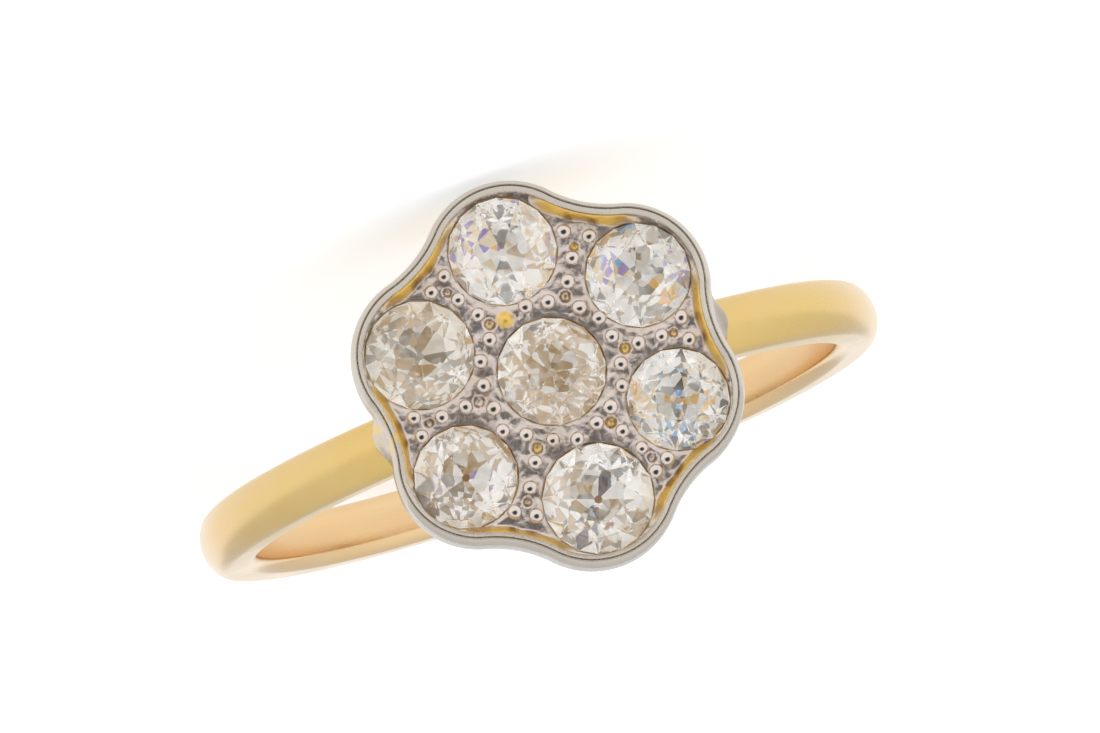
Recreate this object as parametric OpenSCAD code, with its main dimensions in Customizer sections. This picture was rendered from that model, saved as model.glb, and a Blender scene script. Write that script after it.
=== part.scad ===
// Seven-stone cluster ring: a plain gold shank with a scalloped, grain-set head shaped like a daisy.
// It is drawn round its finger hole and then laid on its side: the hole's centre is the origin.

/* [Shank] */
// Diameter of the finger hole
finger_d = 17.2; // [14:0.2:21]
// Width of the shank, along the finger
band_w = 1.62; // [1.4:0.02:2.4]
// Thickness of the shank, from the finger outwards
band_t = 1.42; // [1.3:0.02:2]
// Height of the shank's dome, above where it is widest
band_dome = 0.53; // [0.48:0.01:0.8]
// Rounding of the shank's outer shoulders
band_side_r = 0.4; // [0.25:0.01:0.45]
// Rounding of the shank's inner edges
band_inner_r = 0.36; // [0.1:0.02:0.5]

/* [Stones] */
// Mean diameter of the petal stones
petal_stone_d = 2.89; // [2.6:0.01:3.3]
// Diameter of the centre stone
centre_stone_d = 2.93; // [2.6:0.01:3.3]
// Least space between two stones, which the grains stand in
stone_space = 0.64; // [0.58:0.01:0.9]
// Thickness of a stone's girdle
girdle_t = 0.06; // [0.02:0.01:0.12]
// Angle of the crown's main facets
crown_angle = 36; // [30:1:40]
// Angle of the pavilion's main facets
pavilion_angle = 41; // [38:1:43]
// Table's width, as a share of the stone's diameter
table_share = 0.5; // [0.44:0.01:0.6]
// Culet's width, as a share of the stone's diameter
culet_share = 0.07; // [0.03:0.01:0.1]
// Clearance between a set stone and the metal under and round it
set_gap = 0.025; // [0.02:0.005:0.035]
// Clearance between a petal stone and the rim
rim_gap = 0.04; // [0.04:0.005:0.08]

/* [Head] */
// Height of the stones' girdles above the finger hole
girdle_rise = 2.8; // [2.7:0.05:3.6]
// Head's offset across the ring, as the hand-made ring has it
head_shift = 0.16; // [-0.3:0.02:0.3]
// Turn of the head on the shank, in degrees
head_turn = 0.5; // [-3:0.5:3]
// How much fuller than its stone a petal's round outline is
petal_full = 0.5; // [0.3:0.02:0.6]
// Radius of the hollow curve between two petals
notch_r = 3.4; // [2.5:0.1:5]
// Width of the platinum rim
rim_w = 0.33; // [0.28:0.01:0.4]
// Height of the rim's top above the girdles
rim_rise = 0.64; // [0.5:0.02:0.9]
// Width of the step along the rim's inner edge
rim_step_w = 0.1; // [0.06:0.01:0.14]
// Drop of that step below the rim's top
rim_step_drop = 0.12; // [0.06:0.01:0.2]
// Depth of the platinum wall below the girdles
wall_drop = 0.7; // [0.5:0.05:1]
// Radius of the small platinum saddle where each shoulder meets the head
saddle_r = 0.9; // [0.7:0.05:1.2]
// How far a saddle stands out of its notch
saddle_out = 0.3; // [0.2:0.05:0.5]
// Drop of the saddle's top below the rim's top
saddle_drop = 0.36; // [0.3:0.02:0.5]

/* [Setting plate] */
// Height of the platinum plate's top above the girdles
plate_rise = 0.08; // [0.04:0.01:0.12]
// Thickness of the platinum plate
plate_t = 0.4; // [0.3:0.02:0.5]
// Diameter of a grain
grain_d = 0.43; // [0.36:0.01:0.48]
// Height of a grain's centre above the girdles' upper edge
grain_lift = 0.18; // [0.14:0.01:0.2]
// Diameter of the pocket between three stones, where the gold shows
pocket_d = 0.36; // [0.2:0.01:0.4]
// Width of the gold left open along the rim at each notch
notch_slot_w = 0.17; // [0.08:0.01:0.18]
// Platinum left between that opening and the rim
notch_slot_in = 0.03; // [0.02:0.01:0.05]
// Gap whose first inner grain is worn away, counted from 0, or 6 for none
worn_gap = 1; // [0:1:6]

/* [Gold collet] */
// Seam between the platinum and the gold
seam = 0.02; // [0.01:0.01:0.04]
// Thickness of the gold floor under the platinum plate
floor_t = 0.95; // [0.8:0.05:1.1]
// How far the collet's top stands in from the rim's outer edge
collet_set_in = 0.16; // [0.1:0.01:0.2]
// Inward slope of the collet below the platinum, in degrees
collet_taper = 13; // [8:1:16]
// Diameter of the hollow behind the centre stone
back_hollow_d = 4.4; // [2:0.1:4.8]
// Diameter of the hole behind each petal stone
back_hole_d = 1.5; // [0.9:0.05:1.7]
// Diameter of the opening under each stone's point
light_hole_d = 0.8; // [0.5:0.05:0.8]

/* [Hidden] */
$fn = 48;

PETALS = 6;
// The gaps between petals where the shoulders meet the head
SHOULDER_GAPS = [2, 5];
// One row for each petal, counted from the ring's right: how far it stands off its even place in
// degrees, its distance and its stone's size as shares of the mean, and the turn of the facets.
OFFSET = 0;
REACH = 1;
SIZE = 2;
TURN = 3;
PETAL = [
    [-1.9, 0.98, 0.98, 7],
    [1.7, 0.985, 1.015, 31],
    [2.7, 1.00, 1.02, 14],
    [0.9, 1.03, 0.97, 40],
    [-0.4, 1.025, 1.04, 3],
    [-2.9, 0.975, 0.96, 22]];
CENTRE_TURN = 12;

// Grains of one gap between two petals: how far out they stand, as a share of the way from the
// centre stone to the rim, and how far to each side, as a share of the gap's width.
OUT = 0;
ASIDE = 1;
GRAIN = [[0.122, 0.54], [0.122, -0.54], [0.343, 0], [0.572, 0], [0.806, 0.44], [0.806, -0.44]];
// Pockets of one gap, placed in the same way, with their size as a share of the pocket's diameter.
WIDE = 2;
POCKET = [[0.21, 0, 1], [0.692, 0, 0.8]];
// Row of GRAIN that is worn away in the worn gap
WORN_GRAIN = 1;
// Share of a notch's curve that its slot runs along
SLOT_SHARE = 0.8;
// Share of the gold floor that a light hole passes before it opens into the seat
LIGHT_SHARE = 0.8;
// Each hollow curve of the outline runs this much into the petals beside it, so that they cross
NOTCH_SINK = 0.003;

finger_r = finger_d / 2;
grain_r = grain_d / 2;
centre_r = centre_stone_d / 2;
even_step = 360 / PETALS;
// The petals stand clear of the centre stone and of each other
pitch_r = max(centre_r + stone_space + petal_stone_d / 2,
    (petal_stone_d + stone_space) / (2 * sin(even_step / 2)));
function petal_angle(i) = head_turn + even_step * (i + 0.5) + PETAL[i][OFFSET];
function stone_r(i) = petal_stone_d / 2 * PETAL[i][SIZE];
function next(i) = (i + 1) % PETALS;
function polar(r, a) = r * [cos(a), sin(a)];
STONE_AT = [for (i = [0:PETALS - 1]) polar(pitch_r * PETAL[i][REACH], petal_angle(i))];
// The rim's round of each petal stands further in than its stone by as much as it is fuller
PETAL_AT = [for (i = [0:PETALS - 1]) polar(pitch_r * PETAL[i][REACH] - petal_full, petal_angle(i))];
PETAL_R = [for (i = [0:PETALS - 1]) stone_r(i) + rim_gap + rim_w + petal_full];

// The point on the right of the way from a to b that lies ra from a and rb from b
function meet(a, ra, b, rb) =
    let (d = norm(b - a), along = (b - a) / d, x = (d * d + ra * ra - rb * rb) / (2 * d))
    a + along * x + [along.y, -along.x] * sqrt(ra * ra - x * x);
function to_notch(i) = PETAL_R[i] + notch_r - NOTCH_SINK;
NOTCH_AT = [for (i = [0:PETALS - 1]) meet(PETAL_AT[i], to_notch(i), PETAL_AT[next(i)], to_notch(next(i)))];
STAR = [for (i = [0:PETALS - 1]) for (p = [PETAL_AT[i], NOTCH_AT[i]]) p];

// Distance from the head's centre to the bottom of notch i, and the drum that fits inside them all
function notch_reach(i) = norm(NOTCH_AT[i]) - notch_r;
drum_r = min([for (i = [0:PETALS - 1]) notch_reach(i)]);

// Width and middle of the space between the stones of petal i and the next
function gap_way(i) = STONE_AT[next(i)] - STONE_AT[i];
function gap_w(i) = norm(gap_way(i)) - stone_r(i) - stone_r(next(i));
function gap_middle(i) = STONE_AT[i] + gap_way(i) / norm(gap_way(i)) * (stone_r(i) + gap_w(i) / 2);
function gap_place(i, row) =
    let (out = gap_middle(i) / norm(gap_middle(i)), way = notch_reach(i) - rim_w - centre_r)
    out * (centre_r + row[OUT] * way) + [-out.y, out.x] * row[ASIDE] * gap_w(i);

girdle_z = finger_r + girdle_rise;
rim_top = girdle_z + rim_rise;
wall_bottom = girdle_z - wall_drop;
plate_top = girdle_z + plate_rise;
plate_bottom = plate_top - plate_t;
floor_top = plate_bottom - seam;
floor_bottom = floor_top - floor_t;
collet_top = wall_bottom - seam;
// The collet is drawn down to here and the finger hole cuts it off
collet_bottom = finger_r - band_t;
collet_inset = collet_set_in + (collet_top - collet_bottom) * tan(collet_taper);
grain_z = girdle_z + girdle_t / 2 + grain_lift;
// Least distance from a stone's edge to the middle of a grain that leans over it
grain_edge = sqrt(pow(grain_r + set_gap, 2) - grain_lift * grain_lift);
// A cut runs past the faces that it opens by this much
past = 0.5;
// The shank's inner edges are rounded this much below the finger hole, so that it cuts them cleanly
EDGE_SINK = 0.012;
// The shank's crown runs this much below its shoulders' rounding, so that the two cross
CROWN_SINK = 0.003;

// Lying down, the ring rests on the foot of its lowest petal and on the back of the shank
band_belly = band_t - band_dome;
REST_PETAL = 1;
tip_out = PETAL_AT[REST_PETAL].y + PETAL_R[REST_PETAL];
rest_rise = tip_out - (band_w / 2 - band_side_r);
rest_run = wall_bottom + finger_r + band_belly;
rest_tilt = atan2(rest_rise, rest_run) - asin(band_side_r / norm([rest_rise, rest_run]));

// The head's outline, drawn in from the rim's outer edge
module outline(inset = 0) {
    difference() {
        polygon(STAR);
        for (p = NOTCH_AT) translate(p) circle(r = notch_r + inset);
    }
    for (i = [0:PETALS - 1]) translate(PETAL_AT[i]) circle(r = PETAL_R[i] - inset);
}

// A drum with one lobe under each petal, whose sides slope from one inset to another
module lobes(low, high, low_inset, high_inset) {
    translate([0, 0, low]) {
        cylinder(h = high - low, r1 = drum_r - low_inset, r2 = drum_r - high_inset);
        for (i = [0:PETALS - 1]) translate(PETAL_AT[i])
            cylinder(h = high - low, r1 = PETAL_R[i] - low_inset, r2 = PETAL_R[i] - high_inset);
    }
}

module straight_head(low, high, inset) {
    translate([0, 0, low]) linear_extrude(high - low) outline(inset);
}

// Half-round section of the shank, with the finger hole's axis along its Y
module band_section() {
    y = band_w / 2 - band_side_r;
    crown_r = (pow(band_side_r, 2) - pow(band_dome, 2) - y * y) / (2 * (band_side_r - band_dome));
    half_crown = y * crown_r / (crown_r - band_side_r);
    flat = band_w / 2 - band_inner_r;
    translate([finger_r, 0]) {
        intersection() {
            translate([band_t - crown_r - CROWN_SINK, 0]) circle(r = crown_r);
            translate([band_inner_r, -half_crown]) square([band_t, 2 * half_crown]);
        }
        for (side = [-1, 1]) {
            translate([band_belly, side * y]) circle(r = band_side_r);
            translate([band_inner_r - EDGE_SINK, side * flat]) circle(r = band_inner_r);
        }
        translate([band_inner_r - EDGE_SINK, -band_w / 2]) square([band_belly - band_inner_r + EDGE_SINK, band_w]);
        translate([-past, -flat]) square([band_belly + past, 2 * flat]);
    }
}

// Old-cut brilliant round the Z axis, with the middle of its girdle on z = 0: a table, eight star,
// eight main and sixteen upper girdle facets above, and sixteen lower girdle and eight main facets
// below, down to an open culet.
FACET_STEP = 45;
HALF_STEP = FACET_STEP / 2;
// How far out the crown's star facets and the pavilion's lower girdle facets reach
STAR_REACH = 0.5;
LOW_REACH = 0.43;
function pavilion_depth(r, at_r) = (r - at_r) * tan(pavilion_angle);
function ring_of(r, z, start) = [for (k = [0:7]) [each polar(r, start + FACET_STEP * k), z]];
function row_point(row, k) = 8 * row + (k + 8) % 8;

module brilliant(r) {
    table_r = r * table_share;
    star_r = table_r + (r - table_r) * STAR_REACH;
    low_r = r * LOW_REACH;
    culet_r = r * culet_share;
    edge = girdle_t / 2;
    crown_h = (r - table_r) * tan(crown_angle);
    star_drop = (star_r * cos(HALF_STEP) - table_r) * tan(crown_angle);
    points = [
        each ring_of(table_r, edge + crown_h, 0),
        each ring_of(star_r, edge + crown_h - star_drop, HALF_STEP),
        each ring_of(r, edge, 0),
        each ring_of(r, edge, HALF_STEP),
        each ring_of(r, -edge, 0),
        each ring_of(r, -edge, HALF_STEP),
        each ring_of(low_r, -edge - pavilion_depth(r, low_r * cos(HALF_STEP)), HALF_STEP),
        each ring_of(culet_r / cos(HALF_STEP), -edge - pavilion_depth(r, culet_r), HALF_STEP)];
    table = 0;
    star = 1;
    upper = 2;
    upper_half = 3;
    lower = 4;
    lower_half = 5;
    low = 6;
    culet = 7;
    function corner(row, k) = row_point(row, k);
    faces = [
        [for (k = [7:-1:0]) corner(table, k)],
        [for (k = [0:7]) corner(culet, k)],
        for (k = [0:7]) each [
            [corner(table, k), corner(table, k + 1), corner(star, k)],
            [corner(table, k), corner(star, k), corner(upper, k), corner(star, k - 1)],
            [corner(star, k), corner(upper_half, k), corner(upper, k)],
            [corner(star, k), corner(upper, k + 1), corner(upper_half, k)],
            [corner(upper, k), corner(upper_half, k), corner(lower_half, k), corner(lower, k)],
            [corner(upper_half, k), corner(upper, k + 1), corner(lower, k + 1), corner(lower_half, k)],
            [corner(low, k), corner(lower, k), corner(lower_half, k)],
            [corner(low, k), corner(lower_half, k), corner(lower, k + 1)],
            [corner(lower, k), corner(low, k), corner(culet, k), corner(culet, k - 1), corner(low, k - 1)]]];
    polyhedron(points, faces);
}

// What a stone takes out of the metal: a recess for its girdle and a cone under its pavilion
module seat(r) {
    girdle_low = girdle_z - girdle_t / 2;
    low_r = r * LOW_REACH;
    depth = (r + set_gap) / (r - low_r) * pavilion_depth(r, low_r * cos(HALF_STEP));
    rotate_extrude() polygon([
        [0, girdle_low - depth], [r + set_gap, girdle_low], [r + set_gap, plate_top + past], [0, plate_top + past]]);
}

module seats() {
    seat(centre_r);
    for (i = [0:PETALS - 1]) translate(STONE_AT[i]) seat(stone_r(i));
}

// Hole from the finger hole up to the floor, and a narrower one on to the stone's point
module back_hole(p, d) {
    translate([p.x, p.y, collet_bottom - past]) cylinder(h = floor_bottom - collet_bottom + past, d = d);
    translate([p.x, p.y, floor_bottom - past]) cylinder(h = past + LIGHT_SHARE * floor_t, d = light_hole_d);
}

module back_holes() {
    back_hole([0, 0], back_hollow_d);
    for (p = STONE_AT) back_hole(p, back_hole_d);
}

function angle_between(a, b) = acos(a * b / (norm(a) * norm(b)));

// Slot that leaves the gold open along the rim, between petal i and the next
module notch_slot(i) {
    inner_r = notch_r + rim_w + notch_slot_in;
    outer_r = inner_r + notch_slot_w;
    half = SLOT_SHARE / 2 * angle_between(PETAL_AT[i] - NOTCH_AT[i], PETAL_AT[next(i)] - NOTCH_AT[i]);
    middle = atan2(-NOTCH_AT[i].y, -NOTCH_AT[i].x);
    far = 2 * outer_r;
    translate(NOTCH_AT[i]) intersection() {
        difference() {
            circle(r = outer_r);
            circle(r = inner_r);
        }
        polygon([[0, 0], polar(far, middle - half), polar(far, middle + half)]);
    }
}

// Openings in the platinum plate, where the gold below shows
module pockets() {
    translate([0, 0, plate_bottom - past]) linear_extrude(plate_t + 2 * past) for (i = [0:PETALS - 1]) {
        for (row = POCKET) translate(gap_place(i, row)) circle(d = pocket_d * row[WIDE]);
        notch_slot(i);
    }
}

module grain_at(p) {
    translate([p.x, p.y, grain_z]) sphere(r = grain_r);
}

module grains() {
    for (i = [0:PETALS - 1]) {
        for (k = [0:len(GRAIN) - 1]) if (i != worn_gap || k != WORN_GRAIN) grain_at(gap_place(i, GRAIN[k]));
        grain_at(polar(norm(STONE_AT[i]) - stone_r(i) - grain_edge, petal_angle(i)));
    }
}

module band() {
    rotate([90, 0, 0]) rotate_extrude() band_section();
}

// Gold under the platinum: a floor that carries the stones, and a scalloped collet down to the shank
module collet() {
    in_head() {
        straight_head(collet_top - past, floor_top, rim_w + seam);
        lobes(collet_bottom, collet_top, collet_inset, collet_set_in);
    }
}

module finger_hole() {
    rotate([90, 0, 0]) cylinder(r = finger_r, h = 4 * pitch_r, center = true);
}

module in_head() {
    translate([head_shift, 0, 0]) children();
}

// From standing round its finger hole, head up, to lying on its side with the head to the front
module laid() {
    rotate([rest_tilt - 90, 0, 180]) children();
}

module shank() color("#e5c877") laid() difference() {
    union() {
        band();
        collet();
    }
    finger_hole();
    in_head() {
        seats();
        back_holes();
    }
}

// Small platinum saddles where the shoulders meet the head
module saddles() {
    difference() {
        for (i = SHOULDER_GAPS) translate(NOTCH_AT[i] / norm(NOTCH_AT[i]) * (notch_reach(i) + saddle_out - saddle_r))
            translate([0, 0, wall_bottom]) cylinder(h = rim_top - saddle_drop - wall_bottom, r = saddle_r);
        straight_head(wall_bottom - past, rim_top, rim_w / 2);
    }
}

// Scalloped rim with its step, and the plate across it with the seats and the openings
module tray() {
    difference() {
        straight_head(wall_bottom, rim_top, 0);
        straight_head(rim_top - rim_step_drop, rim_top + past, rim_w - rim_step_w);
        straight_head(plate_top, rim_top, rim_w);
        straight_head(wall_bottom - past, plate_bottom, rim_w);
        seats();
        pockets();
    }
}

module setting() color("#c9c8c6") laid() in_head() {
    tray();
    grains();
    saddles();
}

module stone_in_head(p, r, turn) color("#f1f1ee") laid() in_head() {
    translate([p.x, p.y, girdle_z]) rotate([0, 0, turn]) brilliant(r);
}

module centre_stone() stone_in_head([0, 0], centre_r, CENTRE_TURN);
module petal_stone(i) stone_in_head(STONE_AT[i], stone_r(i), PETAL[i][TURN]);
module petal_stone_1() petal_stone(0);
module petal_stone_2() petal_stone(1);
module petal_stone_3() petal_stone(2);
module petal_stone_4() petal_stone(3);
module petal_stone_5() petal_stone(4);
module petal_stone_6() petal_stone(5);

shank();
setting();
centre_stone();
petal_stone_1();
petal_stone_2();
petal_stone_3();
petal_stone_4();
petal_stone_5();
petal_stone_6();
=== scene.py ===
"""Looks of a cluster ring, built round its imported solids.

The ring lies on its side on a pale floor: a yellow gold shank with a soldered collet, a platinum
tray with a scalloped rim and raised grains, and seven old-cut stones. Sizes are in millimetres in
the ring's own frame (x across, y along the finger, z towards the head) until a mesh is placed.
"""

import logging
import math
from dataclasses import dataclass
from enum import Enum
from typing import Any, Iterable, Sequence

import bmesh
import bpy
import numpy as np
from mathutils import Matrix, Vector, geometry, kdtree, noise


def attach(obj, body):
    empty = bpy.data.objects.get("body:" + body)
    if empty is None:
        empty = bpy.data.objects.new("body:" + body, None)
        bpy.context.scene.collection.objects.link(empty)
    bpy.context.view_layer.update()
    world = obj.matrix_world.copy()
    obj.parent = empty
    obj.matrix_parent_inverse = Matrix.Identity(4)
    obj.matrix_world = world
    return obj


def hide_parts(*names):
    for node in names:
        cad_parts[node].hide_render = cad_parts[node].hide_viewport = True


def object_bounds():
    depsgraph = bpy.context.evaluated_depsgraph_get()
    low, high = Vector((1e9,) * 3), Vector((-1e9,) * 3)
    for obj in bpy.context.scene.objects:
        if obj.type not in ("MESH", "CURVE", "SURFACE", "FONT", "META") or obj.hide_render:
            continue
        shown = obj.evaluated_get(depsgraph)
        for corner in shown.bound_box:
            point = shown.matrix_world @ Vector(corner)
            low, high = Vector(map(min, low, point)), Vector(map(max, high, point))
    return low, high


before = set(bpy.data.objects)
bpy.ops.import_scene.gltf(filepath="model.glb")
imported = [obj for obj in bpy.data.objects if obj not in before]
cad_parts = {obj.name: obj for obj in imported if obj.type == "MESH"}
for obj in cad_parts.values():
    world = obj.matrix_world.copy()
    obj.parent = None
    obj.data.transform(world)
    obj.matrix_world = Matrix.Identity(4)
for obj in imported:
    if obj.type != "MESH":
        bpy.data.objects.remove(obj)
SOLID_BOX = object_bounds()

log = logging.getLogger("ring")

MM = 0.001
TURN = 2 * math.pi
PETALS = 6
# A stone has eight facets to a round, and every other ring of its corners is turned by half a step
FACETS = 8
STEP = 360 / FACETS
HALF_STEP = STEP / 2

Point2 = tuple[float, float]
Point3 = tuple[float, float, float]
Colour = tuple[float, float, float]
Socket = bpy.types.NodeSocket
Mesh = bpy.types.Mesh
Material = bpy.types.Material
Object = bpy.types.Object


def polar(r: float, degrees: float) -> np.ndarray:
    """The point at this distance and angle.

    Args:
        r: Distance from the centre.
        degrees: Angle from the x axis.

    Returns:
        The point as an array of x and y.
    """
    a = math.radians(degrees)
    return r * np.array([math.cos(a), math.sin(a)])


def smooth(x: np.ndarray | float, low: float, high: float) -> np.ndarray | float:
    """A soft step from 0 at low to 1 at high.

    Args:
        x: Value or array of values.
        low: Where the step starts.
        high: Where it ends.

    Returns:
        The step's height, in the form of x.
    """
    t = np.clip((x - low) / (high - low), 0, 1)
    return t * t * (3 - 2 * t)


# ---- The ring's sizes and places ----


@dataclass(frozen=True)
class PetalPlace:
    """One petal: its stone's angle, distance and radius, and how much fuller the rim's round is."""

    angle: float
    reach: float
    stone_r: float
    full: float

    @property
    def at(self) -> np.ndarray:
        """Centre of the petal's stone."""
        return polar(self.reach, self.angle)

    @property
    def rim_at(self) -> np.ndarray:
        """Centre of the rim's round."""
        return polar(self.reach - self.full, self.angle)


@dataclass(frozen=True)
class RingPlan:
    """Sizes that every piece of the ring shares, as the solids have them."""

    finger_r: float = 8.6
    band_w: float = 1.62
    band_t: float = 1.42
    band_dome: float = 0.53
    band_side_r: float = 0.4
    band_inner_r: float = 0.36
    girdle_z: float = 11.4
    girdle_t: float = 0.06
    head_shift: float = 0.16
    head_turn: float = 0.5
    centre_r: float = 1.465
    petal_stone_r: float = 1.445
    petal_pitch: float = 3.55
    rim_gap: float = 0.04
    rim_w: float = 0.33
    rim_rise: float = 0.64
    petal_full: float = 0.5
    notch_r: float = 3.4
    notch_sink: float = 0.003
    wall_drop: float = 0.7
    grain_r: float = 0.215
    grain_height: float = 0.21
    grain_edge: float = 0.159
    # How far each petal stands off its even place, and its distance and stone as shares of the mean
    offsets: tuple[tuple[float, float, float], ...] = (
        (-1.9, 0.98, 0.98), (1.7, 0.985, 1.015), (2.7, 1.0, 1.02),
        (0.9, 1.03, 0.97), (-0.4, 1.025, 1.04), (-2.9, 0.975, 0.96))
    grain_rule: tuple[Point2, ...] = (
        (0.122, 0.54), (0.122, -0.54), (0.343, 0.0), (0.572, 0.0), (0.806, 0.44), (0.806, -0.44))
    pocket_rule: tuple[tuple[float, float, float], ...] = ((0.21, 0.0, 0.18), (0.692, 0.0, 0.144))
    worn_gap: int = 1
    worn_grain: int = 1
    shoulder_gaps: tuple[int, int] = (2, 5)
    rest_petal: int = 1

    @property
    def petals(self) -> list[PetalPlace]:
        """The six petals, counted from the ring's right."""
        step = 360 / len(self.offsets)
        return [PetalPlace(self.head_turn + step * (i + 0.5) + off, self.petal_pitch * reach,
                           self.petal_stone_r * size, self.petal_full)
                for i, (off, reach, size) in enumerate(self.offsets)]

    @property
    def petal_r(self) -> list[float]:
        """Outer radius of each petal's rim."""
        return [p.stone_r + self.rim_gap + self.rim_w + p.full for p in self.petals]

    @property
    def stones(self) -> list[tuple[np.ndarray, float]]:
        """Place and radius of each stone, the centre one first."""
        return [(np.zeros(2), self.centre_r)] + [(p.at, p.stone_r) for p in self.petals]

    @property
    def notches(self) -> list[np.ndarray]:
        """Centre of the hollow curve between each petal and the next."""
        places, radii, out = self.petals, self.petal_r, []
        for i, (a, ra) in enumerate(zip(places, radii)):
            b, rb = places[(i + 1) % PETALS], radii[(i + 1) % PETALS]
            ra, rb = ra + self.notch_r - self.notch_sink, rb + self.notch_r - self.notch_sink
            way = b.rim_at - a.rim_at
            far = float(np.linalg.norm(way))
            along = way / far
            x = (far * far + ra * ra - rb * rb) / (2 * far)
            out.append(a.rim_at + along * x + np.array([along[1], -along[0]]) * math.sqrt(ra * ra - x * x))
        return out

    def notch_reach(self, i: int) -> float:
        """Distance from the head's centre to the bottom of notch i."""
        return float(np.linalg.norm(self.notches[i])) - self.notch_r

    def gap_place(self, i: int, out_share: float, aside: float) -> np.ndarray:
        """A place in the gap between petal i and the next.

        Args:
            i: The gap's number.
            out_share: Share of the way from the centre stone to the rim.
            aside: Distance to the side, as a share of the gap's width.

        Returns:
            The place in the head's plan.
        """
        a, b = self.petals[i], self.petals[(i + 1) % PETALS]
        way = b.at - a.at
        far = float(np.linalg.norm(way))
        wide = far - a.stone_r - b.stone_r
        middle = a.at + way / far * (a.stone_r + wide / 2)
        out = middle / np.linalg.norm(middle)
        reach = self.notch_reach(i) - self.rim_w - self.centre_r
        return out * (self.centre_r + out_share * reach) + np.array([-out[1], out[0]]) * aside * wide

    @property
    def grains(self) -> list[np.ndarray]:
        """Places of the grains in the head's plan."""
        out = []
        for i, petal in enumerate(self.petals):
            for k, (out_share, aside) in enumerate(self.grain_rule):
                if i != self.worn_gap or k != self.worn_grain:
                    out.append(self.gap_place(i, out_share, aside))
            out.append(polar(petal.reach - petal.stone_r - self.grain_edge, petal.angle))
        return out

    def outline(self, spacing: float) -> tuple[np.ndarray, np.ndarray, np.ndarray]:
        """The rim's outer outline.

        Args:
            spacing: Distance between two points.

        Returns:
            Its points, their outward normals, and how near each is to a shoulder's notch, from 0 to 1.
        """
        points, normals, saddle = [], [], []
        places, radii, notches = self.petals, self.petal_r, self.notches

        def arc(centre: np.ndarray, r: float, start: np.ndarray, end: np.ndarray, out: float,
                at_shoulder: bool) -> None:
            """Adds the points of one arc.

            Args:
                centre: Its centre.
                r: Its radius.
                start: The way from its centre to its first point.
                end: The way from its centre to where it ends.
                out: 1 where it bulges outwards, -1 where it is a hollow.
                at_shoulder: Whether a shoulder of the band meets it.
            """
            a0 = math.atan2(start[1], start[0])
            a1 = math.atan2(end[1], end[0])
            sweep = (a1 - a0) % TURN if out > 0 else -((a0 - a1) % TURN)
            steps = max(4, round(abs(sweep) * r / spacing))
            for k in range(steps):
                t = a0 + sweep * k / steps
                way = np.array([math.cos(t), math.sin(t)])
                points.append(centre + r * way)
                normals.append(out * way)
                saddle.append(1 - abs(2 * k / steps - 1) if at_shoulder else 0)

        for i, place in enumerate(places):
            before, after = notches[i - 1] - place.rim_at, notches[i] - place.rim_at
            arc(place.rim_at, radii[i], before, after, 1, False)
            here, there = place.rim_at - notches[i], places[(i + 1) % PETALS].rim_at - notches[i]
            arc(notches[i], self.notch_r, here, there, -1, i in self.shoulder_gaps)
        return np.array(points), np.array(normals), np.array(saddle)

    @property
    def tilt(self) -> float:
        """Lean of the finger hole's axis, in radians, as the ring rests on its lowest petal and its back."""
        low = self.rest_petal
        rise = self.petals[low].rim_at[1] + self.petal_r[low] - (self.band_w / 2 - self.band_side_r)
        run = self.girdle_z - self.wall_drop + self.finger_r + self.band_t - self.band_dome
        return math.atan2(rise, run) - math.asin(self.band_side_r / math.hypot(rise, run))

    @property
    def ring_place(self) -> Matrix:
        """From the ring's frame in millimetres to where it lies, in metres."""
        s, c = math.sin(self.tilt), math.cos(self.tilt)
        return Matrix.Scale(MM, 4) @ Matrix(((-1, 0, 0, 0), (0, -s, -c, 0), (0, -c, s, 0), (0, 0, 0, 1)))

    @property
    def turn(self) -> Matrix:
        """How the ring's frame is turned where it lies."""
        return self.ring_place.to_3x3().normalized()

    @property
    def head_place(self) -> Matrix:
        """The same for the head, whose heights are measured from the girdles."""
        return self.ring_place @ Matrix.Translation((self.head_shift, 0, self.girdle_z))


PLAN = RingPlan()


# ---- Node helpers ----


class Val:
    """A socket of numbers that Python's operators work on. Each operation adds a Math node."""

    def __init__(self, shades: "Shades", socket: Socket) -> None:
        """Args: the material that it belongs to, and the output socket."""
        self.shades = shades
        self.socket = socket

    def _math(self, operation: str, *terms: Any) -> "Val":
        """Adds a Math node on these terms."""
        inputs = {i: t for i, t in enumerate(terms)}
        made = self.shades.node("ShaderNodeMath", {"operation": operation}, inputs)
        return Val(self.shades, made.outputs[0])

    def __add__(self, other: Any) -> "Val":
        """self + other."""
        return self._math("ADD", self, other)

    def __sub__(self, other: Any) -> "Val":
        """self - other."""
        return self._math("SUBTRACT", self, other)

    def __rsub__(self, other: Any) -> "Val":
        """other - self."""
        return self._math("SUBTRACT", other, self)

    def __mul__(self, other: Any) -> "Val":
        """self * other."""
        return self._math("MULTIPLY", self, other)

    def __pow__(self, power: Any) -> "Val":
        """self ** power."""
        return self._math("POWER", self, power)

    def most(self, other: Any) -> "Val":
        """The larger of the two."""
        return self._math("MAXIMUM", self, other)

    def step(self, low: float, high: float) -> "Val":
        """A soft step from 0 at low to 1 at high."""
        made = self.shades.node("ShaderNodeMapRange", {"interpolation_type": "SMOOTHSTEP"},
                                {"Value": self, "From Min": low, "From Max": high})
        return Val(self.shades, made.outputs[0])


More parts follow.
